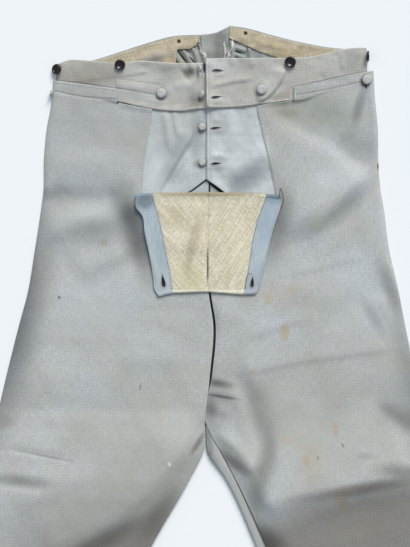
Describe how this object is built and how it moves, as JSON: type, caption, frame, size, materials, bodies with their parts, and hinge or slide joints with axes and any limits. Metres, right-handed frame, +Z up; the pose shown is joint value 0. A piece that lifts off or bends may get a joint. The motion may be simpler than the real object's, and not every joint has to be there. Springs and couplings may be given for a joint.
{
  "type": "narrow-fall trousers laid flat",
  "caption": "Old grey-blue narrow-fall trousers laid flat, the fall folded down to show its linen lining and the buttoned bearers.",
  "frame": {"origin": "on the table, under the middle of the laid garment", "axes": "+X to the right as seen from above, +Y up the garment towards the waist, +Z up from the table"},
  "size_m": [0.8608, 1.1595, 0.0143],
  "materials": {
    "silk_front": "worn grey-blue plain weave with a soft sheen",
    "silk_back": "the same cloth, seen on its wrong side, a little darker",
    "silk_band": "the same cloth, handled and warmer in tone",
    "silk_bearer": "the same cloth, less faded and cooler in tone",
    "linen": "unbleached slubby linen laid on the bias",
    "linen_band": "coarse tan linen, soiled with age",
    "facing": "unfaded pale blue plain weave",
    "covered_button": "button mould covered with the grey cloth",
    "horn": "dark polished horn, dished"
  },
  "bodies": {
    "root": {"back_left": "silk_back", "back_right": "silk_back", "waistband_back_left": "silk_back", "waistband_back_right": "silk_back", "back_gusset": "silk_back", "waistband_lining_left": "linen_band", "waistband_lining_right": "linen_band", "bearer_left": "silk_bearer", "bearer_right": "silk_bearer", "waistband_front_left": "silk_band", "waistband_front_right": "silk_band", "front_left": "silk_front", "front_right": "silk_front", "fall": "silk_front", "fall_facing_left": "facing", "fall_facing_right": "facing", "fall_lining_left": "linen", "fall_lining_right": "linen", "button_fly_1": "covered_button", "button_fly_2": "covered_button", "button_fly_3": "covered_button", "button_fly_4": "covered_button", "button_fall_left": "covered_button", "button_pocket_left": "covered_button", "button_fall_right": "covered_button", "button_pocket_right": "covered_button", "button_brace_1": "horn", "button_brace_2": "horn", "button_brace_3": "horn", "button_brace_4": "horn"}
  },
  "joints": []
}
